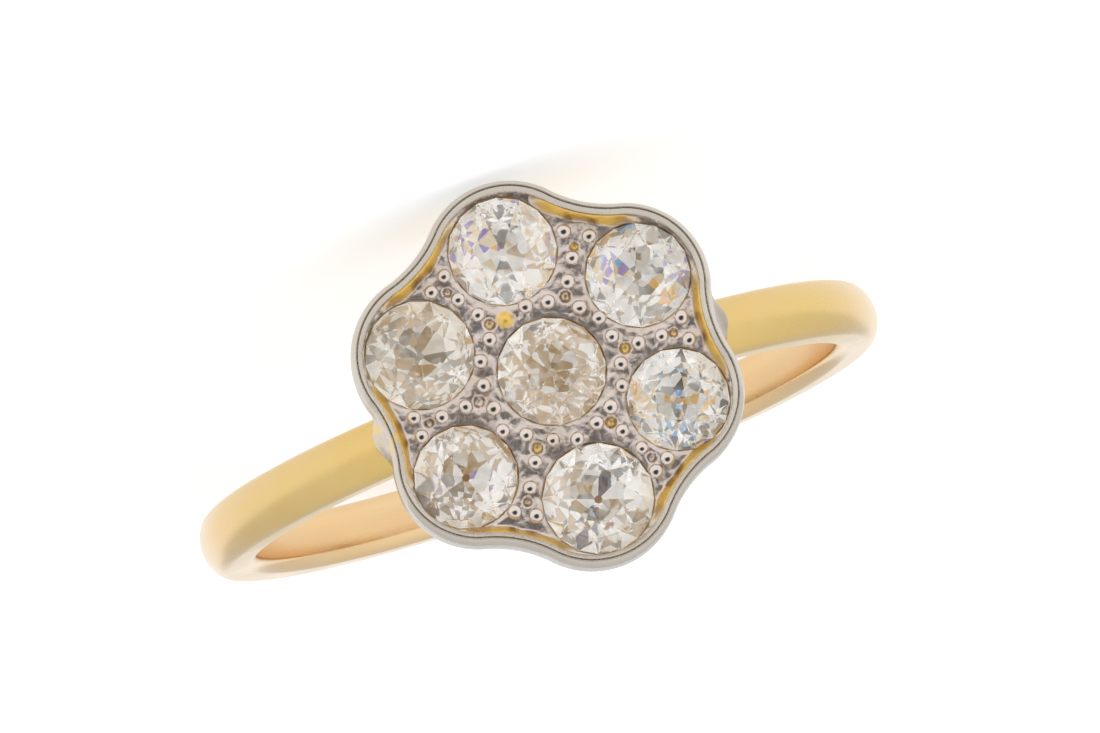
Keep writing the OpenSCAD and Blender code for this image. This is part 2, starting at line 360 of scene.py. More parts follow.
class TreeBuilder:
    """Adds nodes to a tree."""

    def __init__(self, tree: bpy.types.NodeTree) -> None:
        """Args: the node tree."""
        self.tree = tree

    def node(self, kind: str, settings: dict[str, Any] | None = None,
             inputs: dict[Any, Any] | None = None) -> Any:
        """Adds a node.

        Args:
            kind: The node's type.
            settings: Its properties, set first. "stops" holds a ramp's (place, colour) pairs.
            inputs: Values or links of its sockets, by name or number.

        Returns:
            The node.
        """
        made = self.tree.nodes.new(kind)
        for name, value in (settings or {}).items():
            if name == "stops":
                self._stops(made.color_ramp, value)
            else:
                setattr(made, name, value)
        for name, value in (inputs or {}).items():
            if isinstance(value, Val):
                value = value.socket
            if isinstance(value, Socket):
                self.tree.links.new(value, made.inputs[name])
            else:
                made.inputs[name].default_value = value
        return made

    @staticmethod
    def _stops(ramp: Any, stops: Sequence[tuple[float, Colour]]) -> None:
        """Sets a ramp's stops."""
        while len(ramp.elements) < len(stops):
            ramp.elements.new(1)
        for element, (place, colour) in zip(ramp.elements, stops):
            element.position = place
            element.color = (*colour, 1)


class Shades(TreeBuilder):
    """Builds the nodes of one material or of the world."""

    def __init__(self, tree: bpy.types.NodeTree) -> None:
        """Args: the node tree, which is emptied first."""
        super().__init__(tree)
        tree.nodes.clear()

    def fraction(self, value: Val) -> Val:
        """The part of a number after its whole."""
        return Val(self, self.node("ShaderNodeMath", {"operation": "FRACT"}, {0: value}).outputs[0])

    def millimetres(self) -> Socket:
        """The piece's own coordinates, in millimetres."""
        coords = self.node("ShaderNodeTexCoord")
        scaled = self.node("ShaderNodeVectorMath", {"operation": "SCALE"},
                           {0: coords.outputs["Object"], "Scale": 1 / MM})
        return scaled.outputs[0]

    def noise(self, where: Socket, per_mm: float, detail: float, rough: float = 0.5) -> Val:
        """Noise of this many features to the millimetre.

        Args:
            where: The coordinates.
            per_mm: Features to the millimetre.
            detail: How many finer layers it has.
            rough: How strong these are.

        Returns:
            The noise, from 0 to 1.
        """
        return Val(self, self.node("ShaderNodeTexNoise", {}, {
            "Vector": where, "Scale": per_mm, "Detail": detail, "Roughness": rough}).outputs[0])

    def along(self, where: Socket, way: Vector) -> Val:
        """How far a direction points this way, from -1 to 1."""
        made = self.node("ShaderNodeVectorMath", {"operation": "DOT_PRODUCT"}, {0: where, 1: tuple(way)})
        return Val(self, made.outputs["Value"])

    def stretched(self, where: Socket, by: Point3, turn: Point3 = (0, 0, 0)) -> Socket:
        """The coordinates turned and scaled."""
        return self.node("ShaderNodeMapping", {}, {"Vector": where, "Scale": by, "Rotation": turn}).outputs[0]

    def mix(self, share: Any, a: Any, b: Any, blend: str = "MIX") -> Socket:
        """Mixes two colours.

        Args:
            share: How much of b, as a number or a Val.
            a: First colour, a tuple or a socket.
            b: Second colour.
            blend: How they mix.

        Returns:
            The colour's socket.
        """
        a, b = (c if isinstance(c, Socket) else (*c, 1) for c in (a, b))
        made = self.node("ShaderNodeMix", {"data_type": "RGBA", "blend_type": blend}, {0: share, 6: a, 7: b})
        return made.outputs[2]

    def attribute(self, name: str) -> Val:
        """A number kept on the mesh's points."""
        return Val(self, self.node("ShaderNodeAttribute", {"attribute_name": name}).outputs["Fac"])

    def bump(self, height: Val, depth_mm: float, strength: float = 1) -> Socket:
        """A normal that shows this height, whose full range is depth_mm deep."""
        return self.node("ShaderNodeBump", {}, {"Strength": strength, "Distance": depth_mm * MM,
                                                "Height": height}).outputs[0]

    def principled(self, inputs: dict[str, Any]) -> bpy.types.Node:
        """Adds a Principled shader."""
        return self.node("ShaderNodeBsdfPrincipled", {}, inputs)

    def finish(self, shader: bpy.types.Node, kind: str = "Material") -> None:
        """Ends the tree with this shader, as a Material or the World shows it."""
        self.node("ShaderNodeOutput" + kind, {}, {"Surface": shader.outputs[0]})


def new_material(name: str) -> tuple[Material, Shades]:
    """An empty material and the builder of its nodes."""
    material = bpy.data.materials.new(name)
    material.use_nodes = True
    return material, Shades(material.node_tree)


class GrowthTree(TreeBuilder):
    """A geometry node tree with named sizes, built in this script."""

    def __init__(self, name: str) -> None:
        """Args: the tree's name."""
        super().__init__(bpy.data.node_groups.new(name, "GeometryNodeTree"))
        for way in ("INPUT", "OUTPUT"):
            self.tree.interface.new_socket("Geometry", in_out=way, socket_type="NodeSocketGeometry")
        self.given = self.node("NodeGroupInput")
        self.result = self.node("NodeGroupOutput")
        self.keys: dict[str, str] = {}

    def size(self, name: str, kind: str = "NodeSocketFloat") -> Socket:
        """Adds a named input and gives its socket."""
        made = self.tree.interface.new_socket(name, in_out="INPUT", socket_type=kind)
        self.keys[name] = made.identifier
        return next(s for s in self.given.outputs if s.identifier == made.identifier)

    def end(self, shape: Socket, finish: Socket) -> None:
        """Ends the tree with Realize Instances and Set Material."""
        real = self.node("GeometryNodeRealizeInstances", {}, {0: shape})
        dressed = self.node("GeometryNodeSetMaterial", {}, {"Geometry": real.outputs[0], "Material": finish})
        self.tree.links.new(dressed.outputs[0], self.result.inputs[0])

    def grow(self, name: str, base: Mesh, values: dict[str, Any]) -> Mesh:
        """Runs the tree on a base mesh.

        Args:
            name: The result's name.
            base: Points or edges that the tree starts from.
            values: The named inputs.

        Returns:
            A plain mesh.
        """
        carrier = add_object(name + "_base", base)
        growth = carrier.modifiers.new("growth", "NODES")
        growth.node_group = self.tree
        for key, value in values.items():
            growth[self.keys[key]] = value
        made = plain_mesh(carrier)
        made.name = name
        bpy.data.objects.remove(carrier)
        return made


def sweep_tree() -> GrowthTree:
    """The tree that draws a section along a path, upright on the path's plane.

    Returns:
        The tree.
    """
    tree = GrowthTree("section_along_path")
    section, caps, finish = (tree.size("Section", "NodeSocketObject"), tree.size("Caps", "NodeSocketBool"),
                             tree.size("Finish", "NodeSocketMaterial"))
    path = tree.node("GeometryNodeMeshToCurve", {}, {0: tree.given.outputs[0]})
    upright = tree.node("GeometryNodeSetCurveNormal", {"mode": "Z_UP"}, {0: path.outputs[0]})
    drawn = tree.node("GeometryNodeObjectInfo", {}, {"Object": section})
    drawn_path = tree.node("GeometryNodeMeshToCurve", {}, {0: drawn.outputs["Geometry"]})
    skin = tree.node("GeometryNodeCurveToMesh", {}, {
        "Curve": upright.outputs[0], "Profile Curve": drawn_path.outputs[0], "Fill Caps": caps})
    tree.end(skin.outputs[0], finish)
    return tree


def grain_tree() -> GrowthTree:
    """The tree that sets a worn metal bead on each point, each a little different.

    Returns:
        The tree.
    """
    tree = GrowthTree("grains_on_points")
    radius, loose = tree.size("Radius"), tree.size("Uneven")
    seed, finish = tree.size("Seed", "NodeSocketInt"), tree.size("Finish", "NodeSocketMaterial")
    flattest, tallest, lean = 0.6, 0.68, 0.12
    bead = tree.node("GeometryNodeMeshIcoSphere", {}, {"Radius": radius, "Subdivisions": 4})
    least = tree.node("ShaderNodeMath", {"operation": "SUBTRACT"}, {0: 1.0, 1: loose})
    low = tree.node("ShaderNodeCombineXYZ", {}, {0: least.outputs[0], 1: least.outputs[0], 2: flattest})
    ends = ((low.outputs[0], (1.0, 1.0, tallest)), ((-lean, -lean, 0.0), (lean, lean, TURN)))
    size, turn = (tree.node("FunctionNodeRandomValue", {"data_type": "FLOAT_VECTOR"},
                            {0: a, 1: b, "Seed": seed}) for a, b in ends)
    spin = tree.node("FunctionNodeEulerToRotation", {}, {0: turn.outputs[0]})
    beads = tree.node("GeometryNodeInstanceOnPoints", {}, {
        "Points": tree.given.outputs[0], "Instance": bead.outputs[0], "Rotation": spin.outputs[0],
        "Scale": size.outputs[0]})
    tree.end(beads.outputs[0], finish)
    return tree


# ---- Mesh helpers ----


def add_object(name: str, data: bpy.types.ID) -> Object:
    """Adds an object to the scene."""
    made = bpy.data.objects.new(name, data)
    bpy.context.collection.objects.link(made)
    return made


def plain_mesh(carrier: Object) -> Mesh:
    """What an object's modifiers make of it, as a mesh."""
    return bpy.data.meshes.new_from_object(carrier.evaluated_get(bpy.context.evaluated_depsgraph_get()))


def new_mesh(name: str, points: Iterable[Sequence[float]], edges: Iterable[Sequence[int]] = (),
             faces: Iterable[Sequence[int]] = ()) -> Mesh:
    """A mesh of these points, edges and faces."""
    made = bpy.data.meshes.new(name)
    made.from_pydata([tuple(map(float, p)) for p in points], [tuple(e) for e in edges],
                     [tuple(f) for f in faces])
    made.update()
    return made


def loop_mesh(name: str, points: Sequence[Sequence[float]], closed: bool = True) -> Mesh:
    """A line through these points, as a mesh of edges."""
    count = len(points)
    edges = [(i, (i + 1) % count) for i in range(count if closed else count - 1)]
    return new_mesh(name, points, edges)


def swept(tree: GrowthTree, name: str, section: Sequence[Point2], path: Mesh, caps: bool,
          finish: Material) -> Mesh:
    """Draws a closed section along a path.

    Args:
        tree: The tree that sweeps.
        name: The mesh's name.
        section: The section's points.
        path: The path, as edges.
        caps: Whether the ends are closed.
        finish: The mesh's material.

    Returns:
        The mesh.
    """
    drawn = add_object(name + "_section", loop_mesh(name + "_section", [(x, y, 0) for x, y in section]))
    made = tree.grow(name, path, {"Section": drawn, "Caps": caps, "Finish": finish})
    bpy.data.objects.remove(drawn)
    return made


def corner(centre: Point2, r: float, start: float, end: float, steps: int) -> list[Point2]:
    """Points of an arc, with its ends.

    Args:
        centre: The arc's centre.
        r: Its radius.
        start: First angle, in degrees.
        end: Last angle.
        steps: How many pieces it has.

    Returns:
        The points.
    """
    return [tuple(np.array(centre) + polar(r, start + (end - start) * k / steps)) for k in range(steps + 1)]


def tidy_normals(mesh: Mesh, merge: float = 1e-5) -> None:
    """Merges points nearer than this, unless it is 0, and turns the faces outwards."""
    work = bmesh.new()
    work.from_mesh(mesh)
    if merge:
        bmesh.ops.remove_doubles(work, verts=work.verts, dist=merge)
        bmesh.ops.dissolve_degenerate(work, edges=work.edges, dist=merge / 2)
    bmesh.ops.recalc_face_normals(work, faces=work.faces)
    work.to_mesh(mesh)
    work.free()


def set_points(mesh: Mesh, points: np.ndarray) -> None:
    """Moves a mesh's points to where this array has them."""
    mesh.vertices.foreach_set("co", points.ravel())
    mesh.update()


def uneven(points: np.ndarray, per_mm: float, deep: float, seed: float = 0) -> np.ndarray:
    """Soft noise at each point.

    Args:
        points: Points in millimetres.
        per_mm: Features to the millimetre.
        deep: Largest value, either way.
        seed: Shifts the pattern.

    Returns:
        One number for each point.
    """
    shift = Vector((seed, 2 * seed, 3 * seed))
    return deep * np.array([noise.noise(Vector(p) * per_mm + shift) for p in points])


def nearest(points: np.ndarray, q: np.ndarray) -> tuple[np.ndarray, np.ndarray]:
    """For each place, the nearest of some points.

    Args:
        points: Points in the plan.
        q: Places in the plan.

    Returns:
        The points' numbers, and how far they are.
    """
    tree = kdtree.KDTree(len(points))
    for i, v in enumerate(points):
        tree.insert((*v[:2], 0), i)
    tree.balance()
    found = [tree.find((*v[:2], 0)) for v in q]
    return np.array([f[1] for f in found]), np.array([f[2] for f in found])


def keep_numbers(mesh: Mesh, name: str, values: Sequence[float], domain: str = "POINT") -> None:
    """Keeps one number for each point or face on a mesh, for its finish to read."""
    mesh.attributes.new(name, "FLOAT", domain).data.foreach_set("value", np.asarray(values, np.float32))


def all_points(mesh: Mesh) -> np.ndarray:
    """A mesh's points as an array."""
    flat = np.empty(len(mesh.vertices) * 3)
    mesh.vertices.foreach_get("co", flat)
    return flat.reshape(-1, 3)


def place_piece(name: str, mesh: Mesh, place: Matrix, finish: Material, sharp: float) -> Object:
    """Places a finished mesh in the scene, in metres.

    Args:
        name: The piece's name.
        mesh: The mesh, in millimetres.
        place: From its frame to the scene's.
        finish: Its material.
        sharp: Edges above this angle stay sharp, in degrees.

    Returns:
        The object, at the origin.
    """
    mesh.transform(place)
    mesh.name = name
    mesh.materials.clear()
    mesh.materials.append(finish)
    mesh.polygons.foreach_set("material_index", [0] * len(mesh.polygons))
    mesh.polygons.foreach_set("use_smooth", [True] * len(mesh.polygons))
    mesh.set_sharp_from_angle(angle=math.radians(sharp))
    made = add_object(name, mesh)
    log.info("%s: %d points, %d faces", name, len(mesh.vertices), len(mesh.polygons))
    return made


def cut_away(body: Mesh, tools: Sequence[Mesh]) -> Mesh:
    """Cuts closed meshes out of a closed mesh, one after another."""
    base = add_object("cut_base", body)
    cutters = [add_object("cutter", tool) for tool in tools]
    for cutter in cutters:
        cut = base.modifiers.new("cut", "BOOLEAN")
        cut.operation, cut.solver, cut.object = "DIFFERENCE", "EXACT", cutter
    made = plain_mesh(base)
    for item in [base, *cutters]:
        bpy.data.objects.remove(item)
    return made


def stacked_faces(rows: int, sides: int) -> list[list[int]]:
    """Faces of a closed solid made of rings of points, one above another, with flat ends."""
    low = [(k * sides + j, k * sides + (j + 1) % sides) for k in range(rows - 1) for j in range(sides)]
    return ([[a, b, b + sides, a + sides] for a, b in low]
            + [list(range(sides))[::-1], [(rows - 1) * sides + j for j in range(sides)]])


def lathe(profile: Sequence[Point2], centre: Sequence[float],
          steps: int) -> tuple[list[Point3], list[list[int]]]:
    """A closed solid turned round an upright axis.

    Args:
        profile: Radius and height of each ring, from the foot to the top.
        centre: Where the axis stands in the plan.
        steps: How many sides it has.

    Returns:
        Its points and faces.
    """
    points: list[Point3] = []
    for r, z in profile:
        points += [(*(np.array(centre) + polar(r, 360 * k / steps)), z) for k in range(steps)]
    return points, stacked_faces(len(profile), steps)


# ---- Finishes ----


@dataclass(frozen=True)
class GoldFinish:
    """Worn yellow gold, satin, with fine rubbing along the finger's way, rosier where the mesh says so
    (inside, partly a painted reflection of the gold in itself), and paler at grazing angles, a painted sheen.
    """

    name: str = "yellow_gold"
    yellow: Colour = (0.74, 0.52, 0.18)
    # Rosier colour: at the back, and inside, where it is partly a painted reflection of the gold
    rose_and_reflection: Colour = (0.84, 0.58, 0.32)
    # The paler colour, for wear and for a painted sheen at grazing angles; the value below is how strong that
    # sheen is
    pale: Colour = (0.80, 0.66, 0.47)
    painted_edge_sheen: float = 0.5
    roughness: float = 0.3
    rosy_shine: float = 0.13

    def material(self) -> Material:
        """Builds the material.

        Returns:
            The material.
        """
        made, s = new_material(self.name)
        where = s.millimetres()
        bloom = s.noise(where, 0.35, 3, 0.6).step(0.35, 0.7)
        rubs = s.noise(s.stretched(where, (1.2, 9, 9)), 2.2, 3, 0.6)
        pits = s.noise(where, 9, 2, 0.7).step(0.64, 0.8)
        # Rosier where the mesh says so; inside, partly a painted reflection of the gold in itself
        rosy_and_reflected = s.attribute("rose_and_reflection")
        body = s.mix(rosy_and_reflected, self.yellow, self.rose_and_reflection)
        # Paler at grazing angles: a painted sheen. Bloom and pits pale it too, where it is worn
        turned = Val(s, s.node("ShaderNodeLayerWeight", {}, {"Blend": 0.5}).outputs["Facing"])
        shader = s.principled({
            "Base Color": s.mix(bloom * 0.2 + pits * 0.15 + turned ** 2 * self.painted_edge_sheen, body, self.pale),
            "Metallic": 1.0,
            "Roughness": rubs * 0.12 + bloom * 0.06 + (self.roughness - 0.08) - rosy_and_reflected * self.rosy_shine,
            "Normal": s.bump(rubs * 0.6 + pits * 0.4, 0.004, 0.5)})
        s.finish(shader)
        return made


@dataclass(frozen=True)
class PlatinumFinish:
    """Worn platinum, cool grey with warm stains. Where the mesh's gold mask is 1, the gold shows, and where
    its shade mask says so, a painted shade darkens it.
    """

    name: str = "platinum"
    base: Colour = (0.63, 0.575, 0.505)
    stain: Colour = (0.56, 0.46, 0.34)
    gold: Colour = (0.86, 0.58, 0.16)
    # Colour of the painted shade low on the rim's wall
    painted_shade: Colour = (0.36, 0.32, 0.27)
    stained: float = 0.3
    roughness: float = 0.24
    grainy: float = 0.01
    scratched: float = 1.0
    masked: bool = False

    def material(self) -> Material:
        """Builds the material.

        Returns:
            The material.
        """
        made, s = new_material(self.name)
        where = s.millimetres()
        clouds = s.noise(where, 1.1, 4, 0.6).step(0.42, 0.72)
        fine = s.noise(where, 6, 3, 0.6)
        scratches = s.noise(s.stretched(where, (14, 2, 2), (0.3, 0.2, 0.9)), 1.6, 2, 0.5)
        colour: Any = s.mix(clouds * self.stained, self.base, self.stain)
        rough = fine * 0.12 + scratches * (0.08 * self.scratched) + (self.roughness - 0.1)
        if self.masked:
            bare = s.attribute("gold")
            colour = s.mix(bare, colour, self.gold)
            # Painted shade: darker low on the rim's wall
            colour = s.mix(s.attribute("painted_shade") * (clouds * 0.3 + 0.7), colour, self.painted_shade)
            rough = rough + bare * 0.08
        shader = s.principled({
            "Base Color": colour, "Metallic": 1.0, "Roughness": rough,
            "Normal": s.bump(fine * 0.6 + scratches * (0.4 * self.scratched), self.grainy)})
        s.finish(shader)
        return made


@dataclass(frozen=True)
class StoneFinish:
    """Old-cut diamond, not quite clean; on some facets a glowing coat is painted over the clear stone, in a
    colour that differs by facet: painted light, shade and flashes of colour.
    """

    name: str = "diamond"
    # Painted light: white, grey, near-black and tan facets, and rare violet, blue and orange flashes
    tones: tuple[tuple[float, Colour], ...] = (
        (0.0, (0.95, 0.95, 0.94)), (0.26, (0.62, 0.47, 0.26)), (0.44, (0.90, 0.88, 0.84)),
        (0.56, (0.42, 0.39, 0.34)), (0.68, (0.97, 0.97, 0.97)), (0.82, (0.16, 0.14, 0.12)),
        (0.89, (0.86, 0.76, 0.56)), (0.945, (0.42, 0.30, 0.70)), (0.965, (0.32, 0.62, 0.92)),
        (0.98, (0.90, 0.62, 0.16)))
    # Painted shade seen through the open culet, of the hole behind it
    culet_painted_shade: Colour = (0.40, 0.22, 0.07)
    clear: Colour = (0.98, 0.98, 0.97)
    smeared: Colour = (0.94, 0.91, 0.84)
    ior: float = 2.417
    painted_coat_roughness: float = 0.45
    # Painted glow of the coat: stands for the light that reaches a facet through the stone by more turns than
    # are followed
    light_in: float = 0.5

    def material(self) -> Material:
        """Builds the material.

        Returns:
            The material.
        """
        made, s = new_material(self.name)
        where = s.millimetres()
        cells = s.node("ShaderNodeTexVoronoi", {}, {"Vector": where, "Scale": 2.4})
        cell = Val(s, s.node("ShaderNodeSeparateColor", {}, {0: cells.outputs["Color"]}).outputs[0])
        # Painted light and shade: each facet's place on the ramp below
        painted_light_tone = s.fraction(s.attribute("painted_light_tone") + cell * 0.3)
        ramp = s.node("ShaderNodeValToRGB", {"stops": self.tones}, {0: painted_light_tone})
        ramp.color_ramp.interpolation = "CONSTANT"
        # Painted shade in the open culet, of the hole behind it
        colour = s.mix(s.attribute("culet"), ramp.outputs[0], self.culet_painted_shade)
        smear = s.noise(where, 1.6, 2, 0.5).step(0.35, 0.65)
        painted_light_share = s.attribute("painted_light_share") * (smear * 0.2 + 0.8)
        clear = s.principled({
            "Base Color": s.mix(smear * 0.5, self.clear, self.smeared), "Roughness": 0.0,
            "IOR": self.ior, "Transmission Weight": 1.0})
        # The painted coat: it glows, standing for light and shade inside the stone
        painted_coat = s.principled({
            "Base Color": colour, "Roughness": self.painted_coat_roughness, "Emission Strength": self.light_in,
            "Emission Color": s.mix(1.0, colour, colour, "MULTIPLY")})
        shown = s.node("ShaderNodeMixShader", {}, {0: painted_light_share.most(s.attribute("culet")), 1: clear.outputs[0],
                                                   2: painted_coat.outputs[0]})
        s.finish(shown)
        return made


@dataclass(frozen=True)
class FloorFinish:
    """Plain matte white card."""

    name: str = "white_card"
    white: Colour = (0.55, 0.55, 0.55)
    glow: float = 0.64

    def material(self) -> Material:
        """Builds the material.

        Returns:
            The material.
        """
        made, s = new_material(self.name)
        shader = s.principled({
            "Base Color": (*self.white, 1), "Roughness": 0.9, "Specular IOR Level": 0.1,
            "Emission Color": (1, 1, 1, 1), "Emission Strength": self.glow})
        s.finish(shader)
        return made


class Slot(Enum):
    """The record's material slots."""

    GOLD = "gold"
    PLATINUM = "platinum"
    DIAMOND = "diamond"


class Node(Enum):
    """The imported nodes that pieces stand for."""

    SHANK = "shank"
    SETTING = "setting"


def fit_to_frame(piece: Object, node: Node) -> None:
    """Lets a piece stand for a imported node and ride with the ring."""
    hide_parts(node.value)
    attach(piece, "root")


# ---- Sub-assemblies ----


@dataclass
class Shank:
    """The gold: a D-section band, and the collet that carries the platinum and opens behind the stones."""

    plan: RingPlan = PLAN
    band_end: float = 20.0
    band_steps: int = 220
    collet_set_in: float = 0.16
    collet_taper: float = 13.0
    collet_top: float = 10.68
    collet_foot: float = 7.0
    floor_top: float = 11.05
    floor_bottom: float = 10.11
    hollow_r: float = 2.2
    hole_r: float = 0.75
    light_r: float = 0.4
    low_reach: float = 0.43
    pavilion: float = 41.0
    sides: int = 240
    collet_rows: int = 12
    # Chamfer at the collet's edge, room between a stone and its seat, and how far the cutters run past
    edge_w: float = 0.03
    seat_gap: float = 0.03
    past: float = 1.0
    finger_cut: float = 9.0
    # How far the swept band stands clear of the finger hole, and how unevenly it has worn, as a share
    sink: float = 0.006
    worn: float = 0.0008
    # Rosier gold: how much at the back and how much inside, where it is partly a painted reflection
    # of the gold in itself; between which angles from the head, and how deep
    rosy_and_reflected: Point2 = (0.8, 0.45)
    rosy_angles: Point2 = (55, 88)
    rosy_depths: Point2 = (0.02, 0.2)

    def band_section(self) -> list[Point2]:
        """The band's section: how far out from the finger, and how far along it.

        Returns:
            Its points.
        """
        p = self.plan
        y = p.band_w / 2 - p.band_side_r
        crown = (p.band_side_r ** 2 - p.band_dome ** 2 - y * y) / (2 * (p.band_side_r - p.band_dome))
        middle = p.band_t - crown
        belly = p.band_t - p.band_dome
        lean = math.degrees(math.atan2(y, belly - middle))
        half = [(self.sink, 0.0), (self.sink, 0.2)]
        inner_r = p.band_inner_r
        half += corner((inner_r + self.sink, p.band_w / 2 - inner_r), inner_r, 180, 90, 10)
        half += corner((belly, y), p.band_side_r, 90, lean, 10)
        half += corner((middle, 0), crown, lean, 0, 12)[1:]
        return half + [(x, -v) for x, v in half[::-1] if v > 1e-6]

    def band(self, sweep: GrowthTree, gold: Material) -> Object:
        """Draws the band round the finger, from inside one side of the collet to the other.

        Args:
            sweep: The tree that draws a section along a path.
            gold: Its finish.

        Returns:
            The band.
        """
        p = self.plan
        turns = np.linspace(self.band_end, 360 - self.band_end, self.band_steps)
        path = loop_mesh("band_path", [(*polar(p.finger_r, a), 0) for a in turns], closed=False)
        mesh = swept(sweep, "band", self.band_section(), path, True, gold)
        tidy_normals(mesh)
        upright = Matrix(((0, 1, 0, 0), (0, 0, 1, 0), (1, 0, 0, 0), (0, 0, 0, 1)))
        q = all_points(mesh)
        set_points(mesh, q * (1 + uneven(q, 0.5, self.worn)[:, None]))
        q = all_points(mesh)
        round_head = np.degrees(np.abs(np.arctan2(q[:, 1], q[:, 0])))
        # Rosier towards the back, and inside, where it is partly a painted reflection of the gold
        back, inside = self.rosy_and_reflected
        inner = 1 - smooth(np.hypot(q[:, 0], q[:, 1]), *(p.finger_r + v for v in self.rosy_depths))
        keep_numbers(mesh, "rose_and_reflection", np.maximum(back * smooth(round_head, *self.rosy_angles), inside * inner))
        piece = place_piece("band", mesh, p.ring_place @ upright, gold, 60)
        fit_to_frame(piece, Node.SHANK)
        return piece

    def collet_reach(self, angle: float, inset: float) -> float:
        """How far the collet reaches from the head's axis: lobes under the petals, softened into a drum.

        Args:
            angle: The way, in degrees.
            inset: How far inside the rim's outline.

        Returns:
            The distance.
        """
        way = polar(1, angle)
        drum = min(self.plan.notch_reach(i) for i in range(PETALS)) - inset
        reaches = [drum]
        for place, r in zip(self.plan.petals, self.plan.petal_r):
            along = float(place.rim_at @ way)
            inside = (r - inset) ** 2 - ((place.reach - place.full) ** 2 - along ** 2)
            if inside > 0 and along > 0:
                reaches.append(along + math.sqrt(inside))
        soft = 0.03
        top = max(reaches)
        return top + soft * math.log(sum(math.exp((v - top) / soft) for v in reaches))

    def collet_body(self) -> Mesh:
        """The collet before its cuts.

        Returns:
            Its mesh.
        """
        foot, top, set_in = self.collet_foot, self.collet_top, self.collet_set_in
        foot_in = set_in + (top - foot) * math.tan(math.radians(self.collet_taper))
        rows = [(foot, foot_in)]
        for k in range(1, self.collet_rows):
            share = k / self.collet_rows
            rows.append((foot + share * (top - foot), foot_in + share * (set_in - foot_in)))
        seat_in = self.plan.rim_w + self.edge_w
        rows += [(top - self.edge_w, set_in), (top, set_in + self.edge_w), (top, seat_in),
                 (self.floor_top, seat_in)]
        angles = [360 * k / self.sides for k in range(self.sides)]
        points = [(*polar(self.collet_reach(a, inset), a), z) for z, inset in rows for a in angles]
        return new_mesh("collet", points, faces=stacked_faces(len(rows), self.sides))

    def seat_cutter(self) -> Mesh:
        """What the stones and the openings behind them take out of the gold: seven turned solids.

        Returns:
            The solids, as one mesh.
        """
        p = self.plan
        points: list[Point3] = []
        faces: list[list[int]] = []
        low = p.girdle_z - p.girdle_t / 2
        for (at, r), hole in zip(p.stones, [self.hollow_r] + [self.hole_r] * PETALS):
            wide, low_r = r + self.seat_gap, self.low_reach * r
            depth = (r - low_r * math.cos(math.radians(HALF_STEP))) * math.tan(math.radians(self.pavilion))
            depth *= wide / (r - low_r)
            light_z = low - depth * (1 - self.light_r / wide)
            profile = [(hole, self.collet_foot - self.past), (hole, self.floor_bottom),
                       (self.light_r, self.floor_bottom), (self.light_r, light_z), (wide, low),
                       (wide, p.girdle_z + self.past)]
            pts, fcs = lathe(profile, at, 48)
            faces += [[v + len(points) for v in f] for f in fcs]
            points += pts
        return new_mesh("seat_cutter", points, faces=faces)

    def finger_cutter(self) -> Mesh:
        """The finger hole, in the head's plan, along y."""
        pts, fcs = lathe([(self.plan.finger_r, z) for z in (-self.finger_cut, self.finger_cut)], (0, 0), 360)
        pts = [(x - self.plan.head_shift, z, -y) for x, y, z in pts]
        return new_mesh("finger_cutter", pts, faces=fcs)

    def collet(self, gold: Material) -> Object:
        """Cuts the collet and places it."""
        mesh = cut_away(self.collet_body(), [self.finger_cutter(), self.seat_cutter()])
        tidy_normals(mesh, 1e-4)
        place = self.plan.ring_place @ Matrix.Translation((self.plan.head_shift, 0, 0))
        piece = place_piece("collet", mesh, place, gold, 32)
        fit_to_frame(piece, Node.SHANK)
        return piece

    def build(self, sweep: GrowthTree, gold: Material) -> None:
        """Builds the band and the collet."""
        self.band(sweep, gold)
        self.collet(gold)


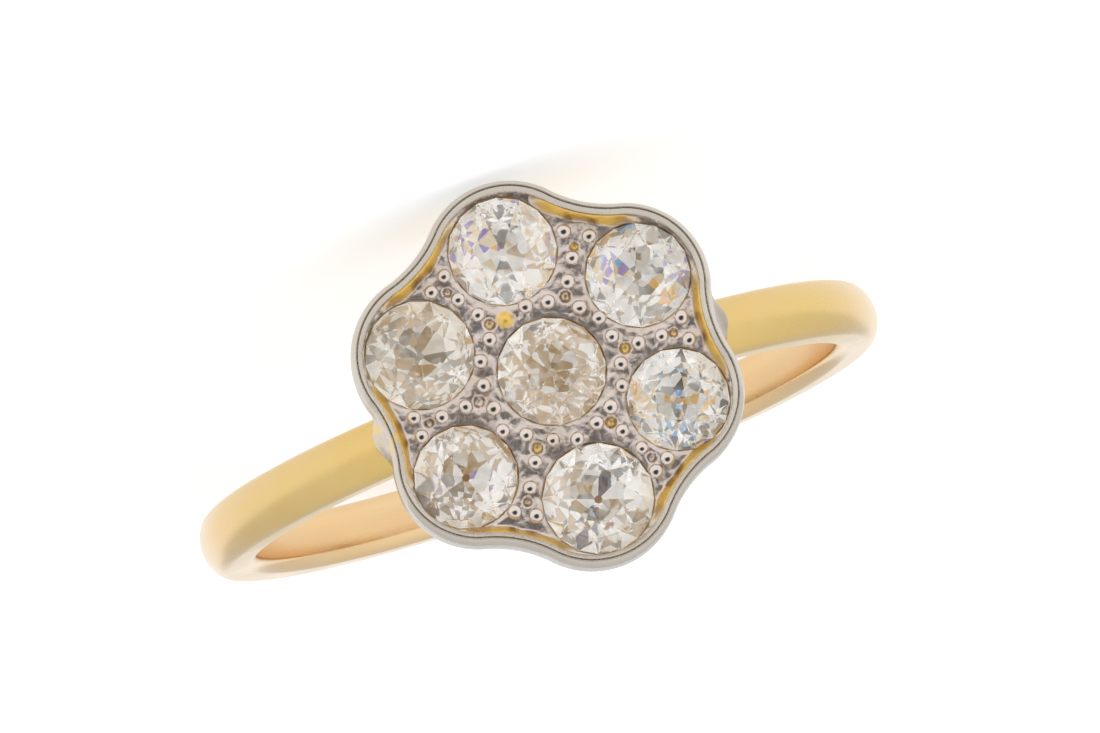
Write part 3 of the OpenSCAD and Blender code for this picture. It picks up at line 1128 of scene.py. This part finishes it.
@dataclass
class Setting:
    """The platinum: the scalloped rim, the plate across it and the grains."""

    plan: RingPlan = PLAN
    path_spacing: float = 0.08
    # The rim's section: its sloping outer side, the ridge, the cut line beside it and the bevel down
    # to the stones
    side_drop: float = 0.24
    ridge_w: float = 0.158
    ridge_r: float = 0.018
    cut_w: float = 0.042
    cut_deep: float = 0.05
    bevel_drop: float = 0.1
    saddle_out: float = 0.3
    join_shine: float = 0.9
    plate_rise: float = 0.06
    plate_foot: float = -0.3
    grid: float = 0.055
    pocket_deep: float = 0.12
    worn_lift: float = 0.12
    # How brightly the gold shows in the inner and the outer pocket of each gap
    pocket_shine: tuple[Point2, ...] = (
        (0.3, 1.0), (0.5, 0.2), (0.1, 0.1), (0.8, 0.3), (0.8, 0.1), (0.9, 0.7))
    strip_lift: float = 0.3
    strip_w: float = 0.24
    # How far the plate runs under the rim's wall, and how near it comes to a stone
    tuck: float = 0.04
    stone_gap: float = 0.02
    # The lip round each stone, the metal swept up round each grain, and the plate's lumps (how many to
    # the millimetre, and how high)
    lip_w: float = 0.12
    lip_drop: float = 0.02
    swept_up: float = 0.05
    swept_w: float = 0.19
    lumps: tuple[Point2, ...] = ((3.5, 0.04), (8, 0.014))
    # The plate's net: half its width, and how far its points are shaken, as a share of its mesh
    net_half: float = 6.0
    shaken: float = 0.12
    grain_uneven: float = 0.1
    # Where the shoulders' swell starts and ends: in from the wall's face, in height and along the rim
    swell_in: Point2 = (-0.2, -0.04)
    swell_up: Point2 = (-0.1, 0.34)
    swell_along: Point2 = (0.1, 0.95)
    # How unevenly the rim has worn, and the heights between which this reaches its top
    wobble: float = 0.012
    wobble_up: Point2 = (0.2, 0.5)
    # Where the wall's painted shade ends, how near a shoulder's notch the join is, and how it is broken up
    painted_shade_up: Point2 = (0.2, 0.42)
    join_along: Point2 = (0.3, 0.6)
    join_broken: Point2 = (-0.05, 0.3)
    # Edges of a pocket, as shares of its radius; how far the gold strips reach from a notch, and how
    # ragged they are; and the mound and the gold where a grain is worn away
    pocket_edge: Point2 = (0.45, 1.05)
    strip_reach: Point2 = (0.9, 1.7)
    ragged: float = 0.1
    mound: Point2 = (0, 0.3)
    mound_gold: Point2 = (0.16, 0.3)
    seed: int = 7

    def rim_section(self) -> list[Point2]:
        """The rim's section: how far out from its outer edge, and how far above the girdles.

        Returns:
            Its points.
        """
        p = self.plan
        top, w, foot = p.rim_rise, p.rim_w, -p.wall_drop
        slope = math.degrees(math.atan2(self.side_drop, self.ridge_w))
        shoulder = (0.0, top - self.side_drop)
        ridge = (-self.ridge_w + self.ridge_r, top - self.ridge_r)
        side = [(-0.02, foot + 0.02), (-0.01, foot + 0.3)]
        side += [(0.0, z) for z in (-0.12, -0.02, 0.06, 0.13, 0.2, shoulder[1] - 0.12)]
        bulge, pulled_in = 0.028, 0.012
        for k in range(1, 10):
            t = k / 10
            x, z = (1 - t) * shoulder[0] + t * ridge[0], (1 - t) * shoulder[1] + t * top
            lift = bulge * math.sin(math.pi * t)
            side.append((x - pulled_in * (1 - t) + lift * 0.6, z + lift * 0.5))
        crest = corner(ridge, self.ridge_r, 90 - slope * 0.4, 180, 8)
        cut = [(-self.ridge_w - self.cut_w * share, top - self.cut_deep * deep)
               for share, deep in ((0.2, 0.9), (0.45, 1), (0.75, 0.8), (1, 0.25))]
        low = top - self.bevel_drop
        bevel = [(-w + 0.025, low), (-w + 0.006, low - 0.02), (-w, low - 0.05), (-w, 0.1),
                 (-w, foot + 0.02), (-w + 0.02, foot), (-0.05, foot)]
        return side + crest + cut + bevel

    def rim(self, sweep: GrowthTree, platinum: Material) -> Object:
        """Draws the rim along the head's outline, with the saddles at the shoulders.

        Args:
            sweep: The tree that draws a section along a path.
            platinum: Its finish.

        Returns:
            The rim.
        """
        points, normals, saddle = self.plan.outline(self.path_spacing)
        path = loop_mesh("rim_path", [(x, y, 0) for x, y in points])
        mesh = swept(sweep, "rim", self.rim_section(), path, False, platinum)
        set_points(mesh, self._stand_up(all_points(mesh), points, normals, saddle))
        tidy_normals(mesh)
        q = all_points(mesh)
        near, _ = nearest(points, q)
        join = smooth(saddle[near] + uneven(q, 2.2, 0.3, 9), *self.join_along) * smooth(-q[:, 0], 0, 1)
        keep_numbers(mesh, "gold", join * self.join_shine * smooth(uneven(q, 3.2, 1, 11), *self.join_broken))
        # Painted shade: darker low on the wall, except at the gold join
        keep_numbers(mesh, "painted_shade", (1 - smooth(q[:, 2], *self.painted_shade_up)) * (1 - join))
        piece = place_piece("rim", mesh, self.plan.head_place, platinum, 32)
        fit_to_frame(piece, Node.SETTING)
        return piece

    def _stand_up(self, q: np.ndarray, points: np.ndarray, normals: np.ndarray,
                  saddle: np.ndarray) -> np.ndarray:
        """Turns the swept rim the right way up, and swells its wall where the shoulders meet it.

        Args:
            q: The rim's points.
            points: The outline's points.
            normals: Their outward normals.
            saddle: How near each is to a shoulder's notch.

        Returns:
            The moved points.
        """
        near, _ = nearest(points, q)
        out = ((q[:, :2] - points[near]) * normals[near]).sum(1)
        # The sweep hangs its section upside down
        up = -q[:, 2]
        q[:, 2] = up
        wall = smooth(out, *self.swell_in) * (1 - smooth(up, *self.swell_up))
        swell = self.saddle_out * wall * smooth(saddle[near], *self.swell_along)
        wobble = np.minimum(uneven(np.c_[q[:, :2], 0 * up], 0.9, self.wobble, 3), 0)
        q[:, :2] += normals[near] * (swell + 0.5 * wobble)[:, None]
        q[:, 2] += wobble * smooth(up, *self.wobble_up)
        return q

    def in_plate(self, q: np.ndarray, slack: float = 0) -> np.ndarray:
        """Which places lie on the plate.

        Args:
            q: Places in the head's plan.
            slack: How far inside its edges a place has to lie.

        Returns:
            For each place, whether it is inside the rim's wall and clear of every stone.
        """
        p = self.plan
        edge = p.rim_w - self.tuck + slack
        inside = np.zeros(len(q), bool)
        for place, r in zip(p.petals, p.petal_r):
            inside |= np.hypot(*(q - place.rim_at).T) < r - edge
        star = np.array([v for a, b in zip([x.rim_at for x in p.petals], p.notches) for v in (a, b)])
        angle = np.arctan2(q[:, 1], q[:, 0])
        star_angle = np.arctan2(star[:, 1], star[:, 0])
        order = np.argsort(star_angle)
        star, star_angle = star[order], star_angle[order]
        after = np.searchsorted(star_angle, angle) % len(star)
        a, b = star[after - 1], star[after]
        cross = (b - a)[:, 0] * (q - a)[:, 1] - (b - a)[:, 1] * (q - a)[:, 0]
        body = cross > 0
        for n in p.notches:
            body &= np.hypot(*(q - n).T) > p.notch_r + edge
        inside |= body
        for at, r in p.stones:
            inside &= np.hypot(*(q - at).T) > r + self.stone_gap + slack
        return inside

    def bare_gold(self, q: np.ndarray) -> tuple[np.ndarray, np.ndarray]:
        """Where the gold shows through the plate.

        Args:
            q: Places in the head's plan.

        Returns:
            How deep each place lies in an opening, in millimetres, and how gold it looks, from 0 to 1.
        """
        p = self.plan
        deep = np.zeros(len(q))
        reach = np.full(len(q), 9.0)
        shine = np.zeros(len(q))
        for i in range(PETALS):
            for (out_share, aside, r), bright in zip(p.pocket_rule, self.pocket_shine[i]):
                far = np.hypot(*(q - p.gap_place(i, out_share, aside)).T)
                opened = 1 - smooth(far, *(r * share for share in self.pocket_edge))
                deep = np.maximum(deep, self.pocket_deep * opened)
                shine = np.maximum(shine, opened * bright)
            bottom = p.notches[i] / np.linalg.norm(p.notches[i]) * p.notch_reach(i)
            reach = np.minimum(reach, np.hypot(*(q - bottom).T))
        _, far = nearest(p.outline(0.04)[0], q)
        ragged = uneven(np.c_[q, np.zeros(len(q))], 1.6, self.ragged, 5)
        strip = 1 - smooth(far - p.rim_w + ragged, self.strip_w * 0.5, self.strip_w)
        strip = strip * (1 - smooth(reach + 2 * ragged, *self.strip_reach))
        deep = deep - self.strip_lift * strip * np.clip(1 - (far - p.rim_w) / self.strip_w, 0, 1)
        worn = np.hypot(*(q - p.gap_place(p.worn_gap, *p.grain_rule[p.worn_grain])).T)
        deep = deep - self.worn_lift * (1 - smooth(worn, *self.mound))
        return deep, np.maximum.reduce([shine, strip, 1 - smooth(worn, *self.mound_gold)])

    def plate_height(self, q: np.ndarray, deep: np.ndarray, gold: np.ndarray) -> np.ndarray:
        """Height of the plate's face.

        Args:
            q: Places in the head's plan.
            deep: How deep each lies in an opening.
            gold: How gold each looks, since the gold is smooth.

        Returns:
            Their heights, swept up round each grain and sunk at each opening.
        """
        p = self.plan
        h = np.full(len(q), self.plate_rise)
        for g in p.grains:
            far = np.hypot(*(q - g).T)
            h += self.swept_up * np.exp(-(far / self.swept_w) ** 2)
        flat = np.c_[q, np.zeros(len(q))]
        h += sum(uneven(flat, *lump, i + 1) for i, lump in enumerate(self.lumps)) * (1 - 0.9 * gold)
        for at, r in p.stones:
            far = np.hypot(*(q - at).T) - r
            lip = (self.plate_rise - self.lip_drop - h) * (1 - smooth(far, self.stone_gap, self.lip_w))
            h = np.where(far < self.lip_w, h + lip, h)
        return h - deep

    def plate(self, platinum: Material) -> Object:
        """Builds the plate as a net over the head's plan, with a flat underside.

        Args:
            platinum: Its finish.

        Returns:
            The plate.
        """
        p = self.plan
        step = self.grid
        rng = np.random.default_rng(self.seed)
        cells = np.arange(-self.net_half, self.net_half, step)
        net = np.array([(x + (step / 2 if j % 2 else 0), y) for j, y in enumerate(cells * math.sqrt(3) / 2)
                        for x in cells])
        net = net + rng.uniform(-self.shaken, self.shaken, net.shape) * step
        net = net[self.in_plate(net, step * 0.5)]
        edge, normals, _ = p.outline(step)
        loops = [edge - normals * (p.rim_w - self.tuck)]
        for at, r in p.stones:
            count = round(TURN * r / step)
            loops.append(np.array([at + polar(r + self.stone_gap, 360 * k / count) for k in range(count)]))
        points = [Vector(v) for v in net]
        edges = []
        for loop in loops:
            first = len(points)
            points += [Vector(v) for v in loop]
            edges += [(first + k, first + (k + 1) % len(loop)) for k in range(len(loop))]
        flat, _, tris, *_ = geometry.delaunay_2d_cdt(points, edges, [], 0, 1e-7)
        flat = np.array([tuple(v) for v in flat])
        tris = np.array([t for t in tris if len(t) == 3])
        tris = tris[self.in_plate(flat[tris].mean(1), -0.012)]
        used, tris = np.unique(tris, return_inverse=True)
        tris = tris.reshape(-1, 3)
        flat = flat[used]
        deep, gold = self.bare_gold(flat)
        high = self.plate_height(flat, deep, gold)
        count = len(flat)
        verts = np.vstack([np.c_[flat, high], np.c_[flat, np.full(count, self.plate_foot)]])
        sides = {e: None for a, b, c in tris for e in ((a, b), (b, c), (c, a))}
        open_edges = [e for e in sides if (e[1], e[0]) not in sides]
        faces = [tuple(t) for t in tris] + [(c + count, b + count, a + count) for a, b, c in tris]
        faces += [(a, a + count, b + count, b) for a, b in open_edges]
        mesh = new_mesh("plate", verts, faces=faces)
        keep_numbers(mesh, "gold", np.r_[gold, gold])
        # No painted shade on the plate
        keep_numbers(mesh, "painted_shade", np.zeros(2 * count))
        tidy_normals(mesh, 0)
        piece = place_piece("plate", mesh, p.head_place, platinum, 60)
        fit_to_frame(piece, Node.SETTING)
        return piece

    def grains(self, beads: GrowthTree, platinum: Material) -> Object:
        """Sets the grains."""
        p = self.plan
        spots = new_mesh("grain_spots", [(*g, p.grain_height) for g in p.grains])
        mesh = beads.grow("grains", spots, {"Radius": p.grain_r, "Uneven": self.grain_uneven,
                                            "Seed": self.seed, "Finish": platinum})
        tidy_normals(mesh)
        piece = place_piece("grains", mesh, p.head_place, platinum, 80)
        fit_to_frame(piece, Node.SETTING)
        return piece

    def build(self, sweep: GrowthTree, beads: GrowthTree) -> None:
        """Builds the rim, the plate and the grains, each with its own finish."""
        rim = PlatinumFinish("platinum_rim", gold=(0.80, 0.61, 0.30), roughness=0.26, stained=0.15,
                             masked=True).material()
        plate = PlatinumFinish("platinum_plate", base=(0.70, 0.61, 0.56), stained=0.5, roughness=0.35,
                               grainy=0.035, scratched=0.2, masked=True).material()
        grain = PlatinumFinish("platinum_grain", base=(0.72, 0.64, 0.59), stained=0.4, roughness=0.17,
                               grainy=0.006, scratched=0.3).material()
        self.rim(sweep, rim)
        self.plate(plate)
        self.grains(beads, grain)


@dataclass(frozen=True)
class StoneCut:
    """Shares and angles of an old-cut brilliant, as the solids have them, and how unevenly it was cut."""

    girdle_t: float = 0.06
    crown: float = 36.0
    pavilion: float = 41.0
    table: float = 0.5
    star: float = 0.5
    low: float = 0.43
    culet: float = 0.07
    uneven: float = 0.02
    # The girdle is evener than the rest, and a facet's turn varies by this many degrees to a share of 1
    girdle_even: float = 0.3
    turned: float = 60.0
    # How much of each kind of facet the painted coat covers, the pavilion's one or the other, and the share
    # of clear ones there
    crown_painted: float = 0.05
    girdle_painted: float = 0.5
    culet_painted: float = 0.9
    pavilion_painted: tuple[float, float] = (0.1, 0.85)
    clear_share: float = 0.45

    def rings(self, r: float) -> list[tuple[float, float, float]]:
        """Radius, height and starting angle of each ring of eight corners, from the table to the culet.

        Args:
            r: The stone's radius.

        Returns:
            One row for each ring.
        """
        up, down = (math.tan(math.radians(a)) for a in (self.crown, self.pavilion))
        half = math.cos(math.radians(HALF_STEP))
        table, edge = r * self.table, self.girdle_t / 2
        star, low, culet = table + (r - table) * self.star, r * self.low, r * self.culet
        top = edge + (r - table) * up
        return [(table, top, 0), (star, top - (star * half - table) * up, HALF_STEP),
                (r, edge, 0), (r, edge, HALF_STEP), (r, -edge, 0), (r, -edge, HALF_STEP),
                (low, -edge - (r - low * half) * down, HALF_STEP),
                (culet / half, -edge - (r - culet) * down, HALF_STEP)]

    def build(self, name: str, at: Sequence[float], r: float, turn: float, rng: np.random.Generator,
              culet_painted_shade_share: float, tones: tuple[float, float]) -> Mesh:
        """Builds one stone.

        Args:
            name: The mesh's name.
            at: Its place in the head's plan.
            r: Its radius.
            turn: How far its facets are turned, in degrees.
            rng: Source of the unevenness.
            culet_painted_shade_share: How strongly the open culet shows the painted shade of the hole behind
                it, from 0 to 1.
            tones: Between which tones of painted light its facets lie.

        Returns:
            The mesh, with its painted light's place on the ramp, its share of painted coat and its culet's
            painted shade kept on the faces.
        """
        table, star, upper, upper_half, lower, lower_half, low, culet = range(8)
        points = []
        table_shift = rng.uniform(-1, 1, 2) * self.uneven * r
        for row, (reach, z, start) in enumerate(self.rings(r)):
            on_girdle = upper <= row <= lower_half
            loose = self.girdle_even if on_girdle else 1.0
            for k in range(FACETS):
                off = rng.normal(0, self.uneven * loose)
                spread = 1 - abs(off) if on_girdle else 1 + off
                aside = rng.normal(0, self.turned * self.uneven * loose)
                xy = polar(reach * spread, turn + start + STEP * k + aside)
                if row <= star:
                    xy = xy + table_shift
                points.append((*(xy + at), z))

        def c(row: int, k: int) -> int:
            """The number of corner k in this ring."""
            return FACETS * row + k % FACETS

        faces = [[c(table, k) for k in range(FACETS)], [c(culet, k) for k in range(FACETS)][::-1]]
        kinds = ["crown", "culet"]
        for k in range(FACETS):
            faces += [[c(table, k), c(star, k), c(table, k + 1)],
                      [c(table, k), c(star, k - 1), c(upper, k), c(star, k)],
                      [c(star, k), c(upper, k), c(upper_half, k)],
                      [c(star, k), c(upper_half, k), c(upper, k + 1)]]
            kinds += ["crown"] * 4
            faces += [[c(upper, k), c(lower, k), c(lower_half, k), c(upper_half, k)],
                      [c(upper_half, k), c(lower_half, k), c(lower, k + 1), c(upper, k + 1)]]
            kinds += ["girdle"] * 2
            faces += [[c(low, k), c(lower_half, k), c(lower, k)],
                      [c(low, k), c(lower, k + 1), c(lower_half, k)],
                      [c(lower, k), c(low, k - 1), c(culet, k - 1), c(culet, k), c(low, k)]]
            kinds += ["pavilion"] * 3
        mesh = new_mesh(name, points, faces=faces)
        # Share of the painted coat on each facet
        painted_light_share = {"crown": self.crown_painted, "girdle": self.girdle_painted, "culet": self.culet_painted}
        keep_numbers(mesh, "painted_light_share", [painted_light_share[kind] if kind in painted_light_share
                                    else self.pavilion_painted[rng.random() > self.clear_share]
                                    for kind in kinds], "FACE")
        keep_numbers(mesh, "painted_light_tone", rng.uniform(*tones, len(faces)), "FACE")
        keep_numbers(mesh, "culet", [culet_painted_shade_share if kind == "culet" else 0 for kind in kinds], "FACE")
        tidy_normals(mesh, 1e-6)
        return mesh


@dataclass
class Stones:
    """The seven stones."""

    plan: RingPlan = PLAN
    cut: StoneCut = StoneCut()
    turns: tuple[float, ...] = (12.0, 7.0, 31.0, 14.0, 40.0, 3.0, 22.0)
    # How strongly each open culet shows the painted shade of the hole behind it
    culet_painted_shade_shares: tuple[float, ...] = (0.3, 0.2, 0.2, 0.3, 1.0, 1.0, 0.5)
    # Range of painted light and shade on each stone's facets; narrower ranges darken some stones
    tones: tuple[Point2, ...] = (
        (0.1, 0.62), (0.2, 0.8), (0.0, 1.0), (0.0, 0.6), (0.1, 0.7), (0.0, 1.0), (0.2, 1.0))
    seed: int = 21

    def build(self) -> None:
        """Builds and places each stone."""
        finish = StoneFinish().material()
        rng = np.random.default_rng(self.seed)
        nodes = ["centre_stone"] + [f"petal_stone_{i + 1}" for i in range(PETALS)]
        rows = zip(nodes, self.plan.stones, self.turns, self.culet_painted_shade_shares, self.tones)
        for node, (at, r), turn, culet_painted_shade, tones in rows:
            mesh = self.cut.build("cut_" + node, at, r, turn, rng, culet_painted_shade, tones)
            piece = place_piece("cut_" + node, mesh, self.plan.head_place, finish, 1)
            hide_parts(node)
            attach(piece, "root")


# ---- Studio ----


@dataclass
class Studio:
    """The floor, the soft light all round and the camera."""

    plan: RingPlan = PLAN
    floor_r: float = 2.5
    sky: float = 0.9
    dark: float = 0.06
    dark_angles: tuple[float, float] = (17.0, 36.0)
    # How much brighter the tent is to one side, and which way that is: to the right, up and back to the lens
    lean: float = 0.22
    bright_way: Point3 = (0.28, 0.12, 0.92)
    # How many turns a ray of light is followed for: stones need many
    turns: int = 16
    # The camera in the ring's frame: its right, up and back, where the lens stands along these, and its
    # focal length in pixels
    right: Point3 = (0.94, -0.3407, 0.0173)
    up: Point3 = (0.3347, 0.931, 0.1458)
    back: Point3 = (-0.0658, -0.1312, 0.9892)
    stand: Point3 = (0.3031, 1.8427, 242.4152)
    focal_px: float = 8655.8
    frame_px: tuple[int, int] = (1100, 733)
    sensor_w: float = 36.0
    clip: Point2 = (0.01, 20.0)

    def from_axes(self, shares: Point3) -> Vector:
        """What lies this far along the camera's right, up and back, in the ring's frame."""
        return sum((Vector(a) * s for a, s in zip((self.right, self.up, self.back), shares)), Vector())

    def floor(self) -> None:
        """Lays the floor under the ring's lowest point."""
        z = SOLID_BOX[0].z
        ring = [(*polar(self.floor_r, 360 * k / 64), z) for k in range(64)]
        mesh = new_mesh("floor", ring, faces=[list(range(64))])
        mesh.materials.append(FloorFinish().material())
        made = add_object("floor", mesh)

    def camera(self) -> Vector:
        """Stands the camera where the photograph's was.

        Returns:
            The direction from the ring to the camera.
        """
        axes = [self.plan.turn @ Vector(v) for v in (self.right, self.up, self.back)]
        made = add_object("camera", bpy.data.cameras.new("camera"))
        made.data.sensor_width = self.sensor_w
        made.data.lens = self.focal_px * self.sensor_w / self.frame_px[0]
        made.data.clip_start, made.data.clip_end = self.clip
        basis = Matrix(axes).transposed().to_4x4()
        made.matrix_world = Matrix.Translation(self.plan.ring_place @ self.from_axes(self.stand)) @ basis
        bpy.context.scene.camera = made
        return axes[2]

    def surround(self, lens_way: Vector, bright_way: Vector) -> None:
        """A white tent all round, dark round the lens and brighter to one side.

        Args:
            lens_way: The way to the lens.
            bright_way: The way to the brighter side.
        """
        world = bpy.data.worlds.new("tent")
        bpy.context.scene.world = world
        world.use_nodes = True
        s = Shades(world.node_tree)
        coords = s.node("ShaderNodeTexCoord").outputs["Generated"]
        inner, outer = (math.cos(math.radians(a)) for a in self.dark_angles)
        dark = s.along(coords, lens_way).step(outer, inner)
        leaning = s.along(coords, bright_way)
        strength = (1 - dark) * (leaning * self.lean + self.sky) + dark * self.dark
        s.finish(s.node("ShaderNodeBackground", {}, {"Color": (1, 1, 1, 1), "Strength": strength}), "World")

    def build(self) -> None:
        """Builds floor, camera and light, and sets how tones are shown."""
        self.floor()
        lens_way = self.camera()
        self.surround(lens_way, (self.plan.turn @ self.from_axes(self.bright_way)).normalized())
        rays = bpy.context.scene.cycles
        rays.max_bounces = rays.transmission_bounces = rays.glossy_bounces = self.turns
        view = bpy.context.scene.view_settings
        view.view_transform, view.look, view.exposure, view.gamma = "Standard", "None", 0, 1


def main() -> None:
    """Builds the studio and every piece, in order."""
    logging.basicConfig(level=logging.INFO, format="%(name)s: %(message)s")
    Studio().build()
    sweep, beads = sweep_tree(), grain_tree()
    gold = GoldFinish().material()
    Shank().build(sweep, gold)
    Setting().build(sweep, beads)
    Stones().build()


if __name__ == "__main__":
    main()
